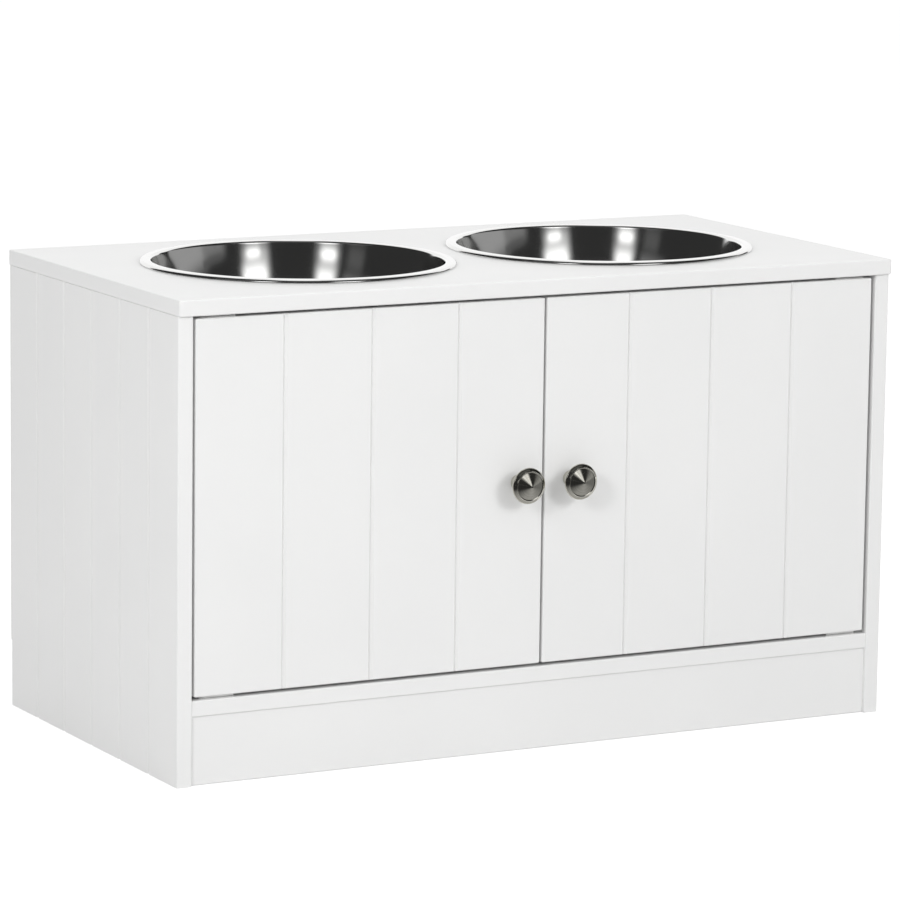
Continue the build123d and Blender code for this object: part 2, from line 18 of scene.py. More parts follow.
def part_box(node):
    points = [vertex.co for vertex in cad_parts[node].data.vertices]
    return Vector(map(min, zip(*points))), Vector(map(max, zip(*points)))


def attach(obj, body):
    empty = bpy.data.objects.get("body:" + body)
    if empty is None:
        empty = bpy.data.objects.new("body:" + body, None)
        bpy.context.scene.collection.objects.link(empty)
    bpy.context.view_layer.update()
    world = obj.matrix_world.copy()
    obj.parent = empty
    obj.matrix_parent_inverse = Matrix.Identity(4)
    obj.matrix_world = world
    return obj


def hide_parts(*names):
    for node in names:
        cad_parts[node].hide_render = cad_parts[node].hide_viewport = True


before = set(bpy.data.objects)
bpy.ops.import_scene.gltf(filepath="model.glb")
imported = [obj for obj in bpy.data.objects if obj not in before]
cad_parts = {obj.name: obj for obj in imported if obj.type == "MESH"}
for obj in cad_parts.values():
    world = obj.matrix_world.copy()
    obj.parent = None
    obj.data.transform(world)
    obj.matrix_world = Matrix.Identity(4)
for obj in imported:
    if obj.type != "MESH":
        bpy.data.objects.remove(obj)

MM = 0.001
MICRON = 0.000001
UP = Vector((0.0, 0.0, 1.0))
FORWARD = Vector((0.0, -1.0, 0.0))
WHITE = (1.0, 1.0, 1.0, 1.0)
LEVELS = ("lower", "upper")
log = logging.getLogger("dog_feeder")

# Mesh work: reaches and lengths in metres, angles in degrees, parts of a face's direction.
SEAM_REACH = 1e-7
MERGE_REACH = 1e-6
FLAT_ANGLE = 0.4
BOARD_EDGE_ANGLE = 25.0
BOARD_SHARP_ANGLE = 40.0
EASE_SEGMENTS = 4
SHADING_WEIGHT = 80
GROOVE_LENGTH = 150.0 * MM
BOARD_EDGE_LENGTH = 9.0 * MM
SQUARE_ON = 0.99
SLANTED = 0.5

Colour = tuple[float, float, float]
Link = Union["Signal", bpy.types.NodeSocket, float, int, Sequence[float]]
Outline = tuple[tuple[float, float, float], ...]
Chooser = Callable[[bmesh.types.BMEdge], bool]


class Side(Enum):
    """The two halves of the feeder, as its user faces it."""

    LEFT = "left"
    RIGHT = "right"


class Grain(Enum):
    """The direction that a grain or a brushing runs in."""

    ALONG_X = (0.06, 1.0, 1.0)
    ALONG_Z = (1.0, 1.0, 0.06)


# ---- Shader sums ----


class Signal:
    """A number in a shader that takes part in Python sums."""

    def __init__(self, bench: "Bench", socket: bpy.types.NodeSocket) -> None:
        """Wraps a socket.

        Args:
            bench: The node tree that the socket belongs to.
            socket: The output socket.
        """
        self.bench = bench
        self.socket = socket

    def __add__(self, other: Link) -> "Signal":
        """The sum with another value."""
        return self.bench.maths("ADD", self, other)

    __radd__ = __add__

    def __sub__(self, other: Link) -> "Signal":
        """This value less another."""
        return self.bench.maths("SUBTRACT", self, other)

    def __rsub__(self, other: Link) -> "Signal":
        """Another value less this one."""
        return self.bench.maths("SUBTRACT", other, self)

    def __mul__(self, other: Link) -> "Signal":
        """The product with another value."""
        return self.bench.maths("MULTIPLY", self, other)

    __rmul__ = __mul__

    def __truediv__(self, other: Link) -> "Signal":
        """This value over another."""
        return self.bench.maths("DIVIDE", self, other)

    def limited(self, low: float, high: float) -> "Signal":
        """Stretches low to high over zero to one, and stops there.

        Args:
            low: The value that becomes 0.
            high: The value that becomes 1.

        Returns:
            The stretched value.
        """
        node = self.bench.node(
            "ShaderNodeMapRange",
            {"interpolation_type": "SMOOTHSTEP"},
            {"Value": self, "From Min": low, "From Max": high},
        )
        return Signal(self.bench, node.outputs["Result"])


class Bench:
    """The node tree of one material and the tools that fill it."""

    def __init__(self, name: str) -> None:
        """Starts an empty material.

        Args:
            name: The material's name.
        """
        self.material = bpy.data.materials.new(name)
        self.material.use_nodes = True
        self.tree = self.material.node_tree
        self.tree.nodes.clear()

    def node(
        self,
        kind: str,
        settings: Optional[dict[str, object]] = None,
        sockets: Optional[dict[Union[str, int], Link]] = None,
    ) -> bpy.types.Node:
        """Adds one node.

        Args:
            kind: The node's type.
            settings: Its own settings, set first.
            sockets: Values or links of its inputs, by name or place.

        Returns:
            The new node.
        """
        made = self.tree.nodes.new(kind)
        for key, value in (settings or {}).items():
            setattr(made, key, value)
        for key, value in (sockets or {}).items():
            self._plug(made.inputs[key], value)
        return made

    def _plug(self, socket: bpy.types.NodeSocket, value: Link) -> None:
        """Links or sets one input.

        Args:
            socket: The input socket.
            value: A signal, a socket, a number or a vector.
        """
        if isinstance(value, Signal):
            self.tree.links.new(value.socket, socket)
        elif isinstance(value, bpy.types.NodeSocket):
            self.tree.links.new(value, socket)
        else:
            socket.default_value = value

    def maths(self, operation: str, first: Link, second: Link) -> Signal:
        """Adds a Math node.

        Args:
            operation: The Math node's operation.
            first: Its first value.
            second: Its second value.

        Returns:
            The result.
        """
        node = self.node("ShaderNodeMath", {"operation": operation}, {0: first, 1: second})
        return Signal(self, node.outputs[0])

    def place(
        self,
        stretch: Sequence[float] = (1.0, 1.0, 1.0),
        centre: Sequence[float] = (0.0, 0.0, 0.0),
    ) -> bpy.types.NodeSocket:
        """Object coordinates, moved to a centre and then stretched.

        Args:
            stretch: The factor along each axis.
            centre: The point that becomes zero, in metres.

        Returns:
            The vector socket.
        """
        source = self.node("ShaderNodeTexCoord").outputs["Object"]
        shift = [-middle * factor for middle, factor in zip(centre, stretch)]
        node = self.node(
            "ShaderNodeMapping",
            {"vector_type": "POINT"},
            {"Vector": source, "Location": shift, "Scale": list(stretch)},
        )
        return node.outputs["Vector"]

    def noise(
        self, where: bpy.types.NodeSocket, scale: float, detail: float = 2.0, rough: float = 0.5
    ) -> Signal:
        """Smooth noise from 0 to 1.

        Args:
            where: The coordinates.
            scale: Its scale, in waves a metre.
            detail: The number of finer layers.
            rough: How strong the finer layers are.

        Returns:
            The noise.
        """
        node = self.node(
            "ShaderNodeTexNoise",
            {"noise_dimensions": "3D"},
            {"Vector": where, "Scale": scale, "Detail": detail, "Roughness": rough},
        )
        return Signal(self, node.outputs["Fac"])

    def cells(self, where: bpy.types.NodeSocket, scale: float) -> Signal:
        """Distance to the nearest of many scattered points.

        Args:
            where: The coordinates.
            scale: The number of points a metre.

        Returns:
            The distance, in cells.
        """
        node = self.node(
            "ShaderNodeTexVoronoi", {"feature": "F1"}, {"Vector": where, "Scale": scale}
        )
        return Signal(self, node.outputs["Distance"])

    def rings(self, where: bpy.types.NodeSocket, scale: float, axis: Vector) -> Signal:
        """Noise in rings round an axis through zero.

        Args:
            where: The coordinates, centred on the axis.
            scale: The rings' scale, in waves a metre.
            axis: The axis's direction, along one of the three axes.

        Returns:
            The noise.
        """
        flat = [0.0 if abs(part) > 0.5 else 1.0 for part in axis]
        across = self.node(
            "ShaderNodeVectorMath", {"operation": "MULTIPLY"}, {0: where, 1: flat}
        ).outputs["Vector"]
        radius = self.node(
            "ShaderNodeVectorMath", {"operation": "LENGTH"}, {0: across}
        ).outputs["Value"]
        along = self.node(
            "ShaderNodeVectorMath", {"operation": "DOT_PRODUCT"}, {0: where, 1: list(axis)}
        ).outputs["Value"]
        node = self.node(
            "ShaderNodeTexNoise",
            {"noise_dimensions": "1D"},
            {"W": Signal(self, radius) + Signal(self, along), "Scale": scale, "Detail": 3.0},
        )
        return Signal(self, node.outputs["Fac"])

    def tint(self, factor: Link, first: Colour, second: Colour) -> bpy.types.NodeSocket:
        """Mixes two colours.

        Args:
            factor: How much of the second shows.
            first: The first colour.
            second: The second colour.

        Returns:
            The colour socket.
        """
        node = self.node(
            "ShaderNodeMix",
            {"data_type": "RGBA", "blend_type": "MIX"},
            {0: factor, 6: (*first, 1.0), 7: (*second, 1.0)},
        )
        return node.outputs[2]

    def relief(self, height: Link) -> bpy.types.NodeSocket:
        """A surface's small relief.

        Args:
            height: The height, in metres.

        Returns:
            The normal socket.
        """
        node = self.node(
            "ShaderNodeBump", None, {"Strength": 1.0, "Distance": 1.0, "Height": height}
        )
        return node.outputs["Normal"]

    def surface(self, **sockets: Link) -> bpy.types.Material:
        """Ends the tree in a Principled shader.

        Args:
            **sockets: Its inputs, with underscores for spaces.

        Returns:
            The finished material.
        """
        named = {key.replace("_", " "): value for key, value in sockets.items()}
        shader = self.node("ShaderNodeBsdfPrincipled", None, named)
        self.node("ShaderNodeOutputMaterial", None, {"Surface": shader.outputs["BSDF"]})
        return self.material


# ---- Finishes ----


@dataclass(frozen=True)
class Finish:
    """What a surface is made of.

    Attributes:
        name: The material's name.
    """

    name: str

    def material(self) -> bpy.types.Material:
        """The finish's material, made once."""
        found = bpy.data.materials.get(self.name)
        return found or self.mix(Bench(self.name))

    def mix(self, bench: Bench) -> bpy.types.Material:
        """Fills the finish's node tree.

        Args:
            bench: The empty node tree.

        Returns:
            The finished material.
        """
        raise NotImplementedError

    def coat(self, piece: bpy.types.Object) -> None:
        """Puts the finish on every face of a piece."""
        piece.data.materials.clear()
        piece.data.materials.append(self.material())


@dataclass(frozen=True)
class SatinPaint(Finish):
    """Sprayed satin lacquer over fibreboard.

    Attributes:
        light: The paint's colour.
        shade: Its colour where the coat is thinner.
        sheen: Its roughness.
        peel: The height of the orange peel, in metres.
    """

    name: str = "satin_white_paint"
    light: Colour = (0.865, 0.865, 0.86)
    shade: Colour = (0.845, 0.846, 0.842)
    sheen: float = 0.36
    peel: float = 9.0 * MICRON

    def mix(self, bench: Bench) -> bpy.types.Material:
        """Fills the tree: clouded colour, wiped sheen, orange peel, fibres and dust nibs."""
        where = bench.place()
        clouds = bench.noise(where, scale=7.0, detail=3.0)
        fine = bench.noise(where, scale=700.0, detail=2.0)
        wiped = bench.noise(where, scale=24.0, detail=3.0)
        nibs = 1 - bench.cells(where, scale=45.0).limited(0.0, 0.035)
        fibres = bench.noise(where, scale=2200.0, detail=1.0)
        height = (
            bench.noise(where, scale=330.0, detail=2.0) * self.peel
            + fibres * (1.2 * MICRON)
            + nibs * (14.0 * MICRON)
        )
        tone = (clouds * 0.75 + fine * 0.25).limited(0.3, 0.7)
        return bench.surface(
            Base_Color=bench.tint(tone, self.light, self.shade),
            Roughness=self.sheen - 0.05 + wiped * 0.1,
            IOR=1.5,
            Normal=bench.relief(height),
        )


@dataclass(frozen=True)
class FoiledBack(Finish):
    """Matt white foil over thin hardboard, with a fine pressed screen.

    Attributes:
        light: The foil's colour.
        shade: Its colour in the screen's hollows.
    """

    name: str = "foiled_hardboard"
    light: Colour = (0.84, 0.84, 0.83)
    shade: Colour = (0.8, 0.8, 0.785)

    def mix(self, bench: Bench) -> bpy.types.Material:
        """Fills the tree: pressed screen, clouds, faint waves and a dull surface."""
        where = bench.place()
        screen = bench.cells(where, scale=620.0)
        clouds = bench.noise(where, scale=11.0, detail=4.0, rough=0.6)
        waves = bench.noise(where, scale=60.0)
        tone = (clouds * 0.7 + screen * 0.4).limited(0.2, 0.9)
        return bench.surface(
            Base_Color=bench.tint(tone, self.light, self.shade),
            Roughness=0.58 + clouds * 0.1,
            Normal=bench.relief(screen * (16.0 * MICRON) + waves * (30.0 * MICRON)),
        )


@dataclass(frozen=True)
class SpunSteel(Finish):
    """Mirror-polished stainless steel, spun on a lathe.

    Attributes:
        centre: The axis's place, in metres.
        light: The steel's colour.
        shade: Its colour in the faint polishing haze.
        polish: Its roughness.
        ring_height: The height of the polishing rings, in metres.
    """

    name: str = "spun_mirror_steel"
    centre: tuple[float, float, float] = (0.0, 0.0, 0.0)
    light: Colour = (0.82, 0.82, 0.81)
    shade: Colour = (0.74, 0.74, 0.73)
    polish: float = 0.08
    ring_height: float = 0.5 * MICRON

    def mix(self, bench: Bench) -> bpy.types.Material:
        """Fills the tree: rings of polish, haze, water spots and small scratches."""
        where = bench.place(centre=self.centre)
        rings = bench.rings(where, 900.0, UP)
        haze = bench.noise(where, scale=18.0, detail=4.0, rough=0.6)
        spots = 1 - bench.cells(where, scale=85.0).limited(0.08, 0.2)
        stretched = bench.place((60.0, 900.0, 400.0), self.centre)
        scratches = bench.noise(stretched, scale=1.0, detail=2.0)
        tone = (haze * 0.8 + spots * 0.15).limited(0.35, 0.8)
        return bench.surface(
            Base_Color=bench.tint(tone, self.light, self.shade),
            Metallic=1.0,
            Roughness=self.polish + haze * 0.04 + spots * 0.02,
            Normal=bench.relief(rings * self.ring_height + scratches * (0.25 * MICRON)),
        )


@dataclass(frozen=True)
class TurnedNickel(Finish):
    """Turned brass, nickel-plated and finely brushed on the lathe.

    Attributes:
        centre: The knob's axis, in metres.
        light: The plating's colour.
        shade: Its colour in the turning lines.
        polish: Its roughness.
    """

    name: str = "turned_nickel"
    centre: tuple[float, float, float] = (0.0, 0.0, 0.0)
    light: Colour = (0.68, 0.665, 0.605)
    shade: Colour = (0.56, 0.545, 0.485)
    polish: float = 0.07

    def mix(self, bench: Bench) -> bpy.types.Material:
        """Fills the tree: fine turning lines, tarnish in the lines and handling marks."""
        where = bench.place(centre=self.centre)
        lines = bench.rings(where, 2600.0, FORWARD)
        marks = bench.noise(where, scale=160.0, detail=3.0)
        tone = (lines * 0.5 + marks * 0.5).limited(0.3, 0.75)
        return bench.surface(
            Base_Color=bench.tint(tone, self.light, self.shade),
            Metallic=1.0,
            Roughness=self.polish + marks * 0.06,
            Normal=bench.relief(lines * (1.4 * MICRON)),
        )


@dataclass(frozen=True)
class BrushedPlate(Finish):
    """Nickel-plated steel strip, brushed along its length and dulled by use.

    Attributes:
        light: The plating's colour.
        shade: Its colour in the brushing.
        polish: Its roughness.
        bareness: How much of the bright metal shows through the dulling.
        grain: The direction of the brushing.
    """

    name: str = "brushed_plate"
    light: Colour = (0.82, 0.82, 0.81)
    shade: Colour = (0.66, 0.66, 0.65)
    polish: float = 0.3
    bareness: float = 0.45
    grain: Grain = Grain.ALONG_X

    def mix(self, bench: Bench) -> bpy.types.Material:
        """Fills the tree: long brushed lines, dull patches and small dents."""
        lines = bench.noise(bench.place(self.grain.value), scale=2400.0, detail=2.0)
        where = bench.place()
        patches = bench.noise(where, scale=120.0, detail=3.0)
        tone = (lines * 0.6 + patches * 0.4).limited(0.3, 0.75)
        return bench.surface(
            Base_Color=bench.tint(tone, self.light, self.shade),
            Metallic=self.bareness,
            Roughness=self.polish + patches * 0.12,
            Normal=bench.relief(lines * (2.0 * MICRON) + patches * (2.0 * MICRON)),
        )


@dataclass(frozen=True)
class PlatedScrew(Finish):
    """Zinc-plated screw steel with a mottled plating.

    Attributes:
        light: The plating's colour.
        shade: Its colour where it is dull.
        polish: Its roughness.
    """

    name: str = "plated_screw"
    light: Colour = (0.74, 0.74, 0.72)
    shade: Colour = (0.5, 0.51, 0.52)
    polish: float = 0.28

    def mix(self, bench: Bench) -> bpy.types.Material:
        """Fills the tree: mottled plating and a pitted surface."""
        where = bench.place()
        mottle = bench.noise(where, scale=900.0, detail=4.0, rough=0.6)
        pits = bench.cells(where, scale=2500.0)
        return bench.surface(
            Base_Color=bench.tint(mottle.limited(0.35, 0.7), self.light, self.shade),
            Metallic=1.0,
            Roughness=self.polish + mottle * 0.16,
            Normal=bench.relief(mottle * (6.0 * MICRON) + pits * (3.0 * MICRON)),
        )


@dataclass(frozen=True)
class CastZinc(Finish):
    """Die-cast zinc, grey and slightly grainy.

    Attributes:
        light: The casting's colour.
        shade: Its colour in the cast skin.
    """

    name: str = "cast_zinc"
    light: Colour = (0.6, 0.6, 0.6)
    shade: Colour = (0.42, 0.43, 0.44)

    def mix(self, bench: Bench) -> bpy.types.Material:
        """Fills the tree: cast skin and grain."""
        where = bench.place()
        skin = bench.noise(where, scale=420.0, detail=4.0, rough=0.65)
        grain = bench.noise(where, scale=3200.0, detail=1.0)
        return bench.surface(
            Base_Color=bench.tint(skin.limited(0.35, 0.7), self.light, self.shade),
            Metallic=1.0,
            Roughness=0.4 + skin * 0.15,
            Normal=bench.relief(skin * (14.0 * MICRON) + grain * (5.0 * MICRON)),
        )


@dataclass(frozen=True)
class MouldedPlastic(Finish):
    """White moulded plastic with a fine spark-eroded texture.

    Attributes:
        light: The plastic's colour.
        shade: Its colour in the texture.
    """

    name: str = "moulded_white_plastic"
    light: Colour = (0.83, 0.83, 0.81)
    shade: Colour = (0.77, 0.77, 0.745)

    def mix(self, bench: Bench) -> bpy.types.Material:
        """Fills the tree: spark texture, flow clouds and a half-dull surface."""
        where = bench.place()
        spark = bench.noise(where, scale=2600.0, detail=3.0)
        flow = bench.noise(where, scale=90.0, detail=3.0)
        tone = (spark * 0.4 + flow * 0.6).limited(0.3, 0.75)
        return bench.surface(
            Base_Color=bench.tint(tone, self.light, self.shade),
            Roughness=0.42 + spark * 0.12,
            Normal=bench.relief(spark * (11.0 * MICRON)),
        )


@dataclass(frozen=True)
class Ferrite(Finish):
    """Dark sintered ferrite, ground flat.

    Attributes:
        light: The ground surface's colour.
        shade: The pits' colour.
    """

    name: str = "sintered_ferrite"
    light: Colour = (0.12, 0.12, 0.125)
    shade: Colour = (0.045, 0.045, 0.045)

    def mix(self, bench: Bench) -> bpy.types.Material:
        """Fills the tree: sintered pits and the lines of the grinding wheel."""
        where = bench.place()
        pits = bench.cells(where, scale=1500.0)
        ground = bench.noise(bench.place(Grain.ALONG_X.value), scale=2800.0, detail=2.0)
        return bench.surface(
            Base_Color=bench.tint(pits.limited(0.1, 0.7), self.shade, self.light),
            Roughness=0.62 - ground * 0.15,
            Normal=bench.relief(pits * (20.0 * MICRON) + ground * (4.0 * MICRON)),
        )


@dataclass(frozen=True)
class Beech(Finish):
    """Fluted beech dowel, its grain along its length.

    Attributes:
        light: The wood's colour.
        shade: The rays' colour.
        grain: The direction of the grain.
    """

    name: str = "beech"
    light: Colour = (0.74, 0.58, 0.38)
    shade: Colour = (0.56, 0.39, 0.22)
    grain: Grain = Grain.ALONG_X

    def mix(self, bench: Bench) -> bpy.types.Material:
        """Fills the tree: long fibres and short dark rays."""
        where = bench.place(self.grain.value)
        fibres = bench.noise(where, scale=900.0, detail=4.0, rough=0.6)
        rays = 1 - bench.cells(where, scale=1400.0).limited(0.05, 0.3)
        tone = (fibres * 0.8 + rays * 0.4).limited(0.3, 0.8)
        return bench.surface(
            Base_Color=bench.tint(tone, self.light, self.shade),
            Roughness=0.6 + fibres * 0.15,
            Normal=bench.relief(fibres * (22.0 * MICRON) - rays * (10.0 * MICRON)),
        )


# ---- Mesh tools ----


def piece_from(solid: bmesh.types.BMesh, name: str) -> bpy.types.Object:
    """Makes a piece of a bmesh, at the origin.

    Args:
        solid: The bmesh, which is freed.
        name: The piece's name.

    Returns:
        The new object.
    """
    mesh = bpy.data.meshes.new(name)
    solid.to_mesh(mesh)
    solid.free()
    piece = bpy.data.objects.new(name, mesh)
    bpy.context.scene.collection.objects.link(piece)
    return piece


def shade(solid: bmesh.types.BMesh, sharp_angle: float) -> None:
    """Shades a bmesh smooth and marks its sharp edges.

    Args:
        solid: The bmesh.
        sharp_angle: The angle between faces from which an edge is sharp, in degrees.
    """
    for face in solid.faces:
        face.smooth = True
    for edge in solid.edges:
        edge.smooth = edge.calc_face_angle(0.0) < math.radians(sharp_angle)


def turned(
    name: str,
    profile: Sequence[tuple[float, float]],
    base: Vector,
    axis: Vector,
    steps: int,
    sharp_angle: float,
) -> bpy.types.Object:
    """Turns a closed solid from a profile, as on a lathe.

    Args:
        name: The piece's name.
        profile: Points of radius and height above the base, from axis to axis or closed.
        base: A point on the axis.
        axis: The axis's direction, along one of the three axes.
        steps: The number of steps in the full turn.
        sharp_angle: The angle from which an edge is sharp, in degrees.

    Returns:
        The new piece.
    """
    across = axis.orthogonal().normalized()
    solid = bmesh.new()
    points = [solid.verts.new(base + across * radius + axis * height) for radius, height in profile]
    edges = [solid.edges.new(pair) for pair in zip(points, points[1:])]
    bmesh.ops.spin(
        solid,
        geom=points + edges,
        cent=base,
        axis=axis,
        angle=2 * math.pi,
        steps=steps,
        use_merge=True,
    )
    bmesh.ops.remove_doubles(solid, verts=solid.verts, dist=SEAM_REACH)
    bmesh.ops.recalc_face_normals(solid, faces=solid.faces)
    shade(solid, sharp_angle)
    return piece_from(solid, name)


def rounded(
    corners: Sequence[tuple[float, float, float]], segments: int
) -> list[tuple[float, float]]:
    """Rounds the corners of an open line.

    Args:
        corners: Each corner's two coordinates and its bend radius, in millimetres.
            The ends have no bend.
        segments: The number of segments in each bend.

    Returns:
        The line's points, in metres.
    """
    points = [Vector(corners[0][:2])]
    for before, corner, after in zip(corners, corners[1:], corners[2:]):
        here = Vector(corner[:2])
        back = (Vector(before[:2]) - here).normalized()
        ahead = (Vector(after[:2]) - here).normalized()
        half = back.angle(ahead) / 2
        middle = here + (back + ahead).normalized() * (corner[2] / math.sin(half))
        start = here + back * (corner[2] / math.tan(half))
        end = here + ahead * (corner[2] / math.tan(half))
        turn = (start - middle).angle_signed(end - middle)
        for step in range(segments + 1):
            arm = Matrix.Rotation(-turn * step / segments, 2) @ (start - middle)
            points.append(middle + arm)
    points.append(Vector(corners[-1][:2]))
    return [(point.x * MM, point.y * MM) for point in points]


def softened(node: str, name: str, *eases: tuple[float, Chooser]) -> bpy.types.Object:
    """Copies a board's mesh, merges it and eases its sharp edges.

    Args:
        node: The board's node.
        name: The new piece's name.
        *eases: How far each easing reaches on each face, in metres, and which edges it takes.

    Returns:
        The new piece.
    """
    solid = bmesh.new()
    solid.from_mesh(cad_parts[node].data)
    bmesh.ops.remove_doubles(solid, verts=solid.verts, dist=MERGE_REACH)
    bmesh.ops.dissolve_limit(
        solid, angle_limit=math.radians(FLAT_ANGLE), verts=solid.verts, edges=solid.edges
    )
    for softness, is_chosen in eases:
        chosen = [
            edge
            for edge in solid.edges
            if len(edge.link_faces) == 2
            and edge.calc_face_angle(0.0) > math.radians(BOARD_EDGE_ANGLE)
            and is_chosen(edge)
        ]
        bmesh.ops.bevel(
            solid,
            geom=chosen,
            offset=softness,
            offset_type="OFFSET",
            affect="EDGES",
            segments=EASE_SEGMENTS,
            profile=0.5,
            material=-1,
            clamp_overlap=True,
        )
    shade(solid, BOARD_SHARP_ANGLE)
    piece = piece_from(solid, name)
    weighted = piece.modifiers.new("even_shading", "WEIGHTED_NORMAL")
    weighted.keep_sharp = True
    weighted.weight = SHADING_WEIGHT
    return piece


def is_in_groove(edge: bmesh.types.BMEdge) -> bool:
    """Whether an edge bounds a slanted flank of an upright groove."""
    is_long = edge.calc_length() > GROOVE_LENGTH
    return is_long and any(
        min(abs(face.normal.x), abs(face.normal.y)) > SLANTED for face in edge.link_faces
    )


def is_board_edge(edge: bmesh.types.BMEdge) -> bool:
    """Whether an edge is long enough to be a board's own edge."""
    return edge.calc_length() > BOARD_EDGE_LENGTH and all(
        max(abs(part) for part in face.normal) > SQUARE_ON for face in edge.link_faces
    )


def is_top_edge(edge: bmesh.types.BMEdge) -> bool:
    """Whether a long level edge bounds a face that looks straight up."""
    start, end = (corner.co.z for corner in edge.verts)
    is_level = edge.calc_length() > BOARD_EDGE_LENGTH and abs(start - end) < MM
    return is_level and any(face.normal.z > SQUARE_ON for face in edge.link_faces)


def fit(piece: bpy.types.Object, body: str, slot: str, *nodes: str) -> None:
    """Puts a finished piece in the place of its nodes.

    Args:
        piece: The new piece.
        body: The body that it rides on.
        slot: The record's finish slot.
        *nodes: The nodes that it stands for.
    """
    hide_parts(*nodes)
    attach(piece, body)
    report(piece, slot)


def dress(nodes: Iterable[str], finish: Finish) -> None:
    """Gives nodes that keep their own mesh a finish.

    Args:
        nodes: The nodes' names.
        finish: The finish.
    """
    for node in nodes:
        finish.coat(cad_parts[node])
        report(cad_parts[node], finish.name)


def report(piece: bpy.types.Object, finish: str) -> None:
    """Logs a finished piece.

    Args:
        piece: The piece.
        finish: Its finish.
    """
    log.info("%s: %s, %d faces", piece.name, finish, len(piece.data.polygons))


# ---- The feeder ----


@dataclass
class Carcass:
    """The fixed boards of the cabinet.

    Attributes:
        edge_ease: How far a board's outer edges are eased.
        groove_ease: How far the grooves' edges are eased.
        paint: The finish of the boards.
        foil: The finish of the back.
    """

    edge_ease: float = 0.7 * MM
    groove_ease: float = 0.5 * MM
    paint: Finish = SatinPaint()
    foil: Finish = FoiledBack()

    def build(self) -> None:
        """Builds and dresses every board."""
        boards = {
            "top_panel": "top_board",
            "left_side_panel": "left_side_board",
            "right_side_panel": "right_side_board",
            "bottom_shelf": "bottom_shelf_board",
            "plinth": "plinth_board",
        }
        for node, name in boards.items():
            eases = ((self.groove_ease, is_in_groove), (self.edge_ease, is_board_edge))
            board = softened(node, name, *eases)
            self.paint.coat(board)
            fit(board, "cabinet", "white_paint", node)
        dress(["back_panel"], self.foil)


@dataclass
class Door:
    """One door with its hinge leaves, its strike plate and its screws.

    Attributes:
        side: The side that it hangs on.
        edge_ease: How far the door's outer edges are eased.
        top_ease: How far its upper edges are eased.
        groove_ease: How far the grooves' edges are eased.
        paint: The door's finish.
    """

    side: Side
    edge_ease: float = 0.35 * MM
    top_ease: float = 1.3 * MM
    groove_ease: float = 0.5 * MM
    paint: Finish = SatinPaint()

    @property
    def body(self) -> str:
        """The body that the door's pieces ride on."""
        return f"{self.side.value}_door_body"

    def build(self) -> None:
        """Builds the door's board and dresses what is fixed to it."""
        node = f"{self.side.value}_door"
        eases = (
            (self.groove_ease, is_in_groove),
            (self.top_ease, is_top_edge),
            (self.edge_ease, is_board_edge),
        )
        board = softened(node, f"{node}_board", *eases)
        self.paint.coat(board)
        fit(board, self.body, "white_paint", node)
        plate = BrushedPlate()
        dress([f"{self.side.value}_{level}_door_hinge_leaf" for level in LEVELS], plate)
        dress([f"{self.side.value}_strike_plate"], plate)
        screws = ("door_hinge_screws", "knob_screw", "strike_screw")
        dress([f"{self.side.value}_{screw}" for screw in screws], PlatedScrew())


@dataclass
class Knob:
    """A turned knob with a coned face, a bead and a flared neck.

    Attributes:
        side: The door that it is on.
        corners: The turned line's corners from the seat to the tip, in millimetres,
            each with its radius, its distance from the door and its bend.
        bend_segments: The number of segments in each bend.
        steps: The number of steps in its full turn.
        sharp_angle: The angle from which an edge is sharp, in degrees.
    """

    side: Side
    corners: Outline = (
        (0.0, 0.0, 0.0),
        (6.0, 0.0, 0.3),
        (5.2, 5.5, 12.0),
        (8.2, 13.0, 10.0),
        (13.6, 16.5, 0.7),
        (13.6, 17.7, 1.6),
        (11.3, 19.1, 0.3),
        (10.9, 19.65, 0.3),
        (10.2, 19.3, 0.3),
        (0.6, 22.9, 1.5),
        (0.0, 22.9, 0.0),
    )
    bend_segments: int = 7
    steps: int = 128
    sharp_angle: float = 60.0

    def build(self) -> None:
        """Turns the knob and finishes it."""
        node = f"{self.side.value}_knob"
        low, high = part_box(node)
        centre = (Vector(low) + Vector(high)) / 2
        centre.y = high[1]
        line = rounded(self.corners, self.bend_segments)
        knob = turned(f"{node}_turning", line, centre, FORWARD, self.steps, self.sharp_angle)
        TurnedNickel(f"turned_nickel_{self.side.value}", tuple(centre)).coat(knob)
        fit(knob, f"{self.side.value}_door_body", "knob_nickel", node)


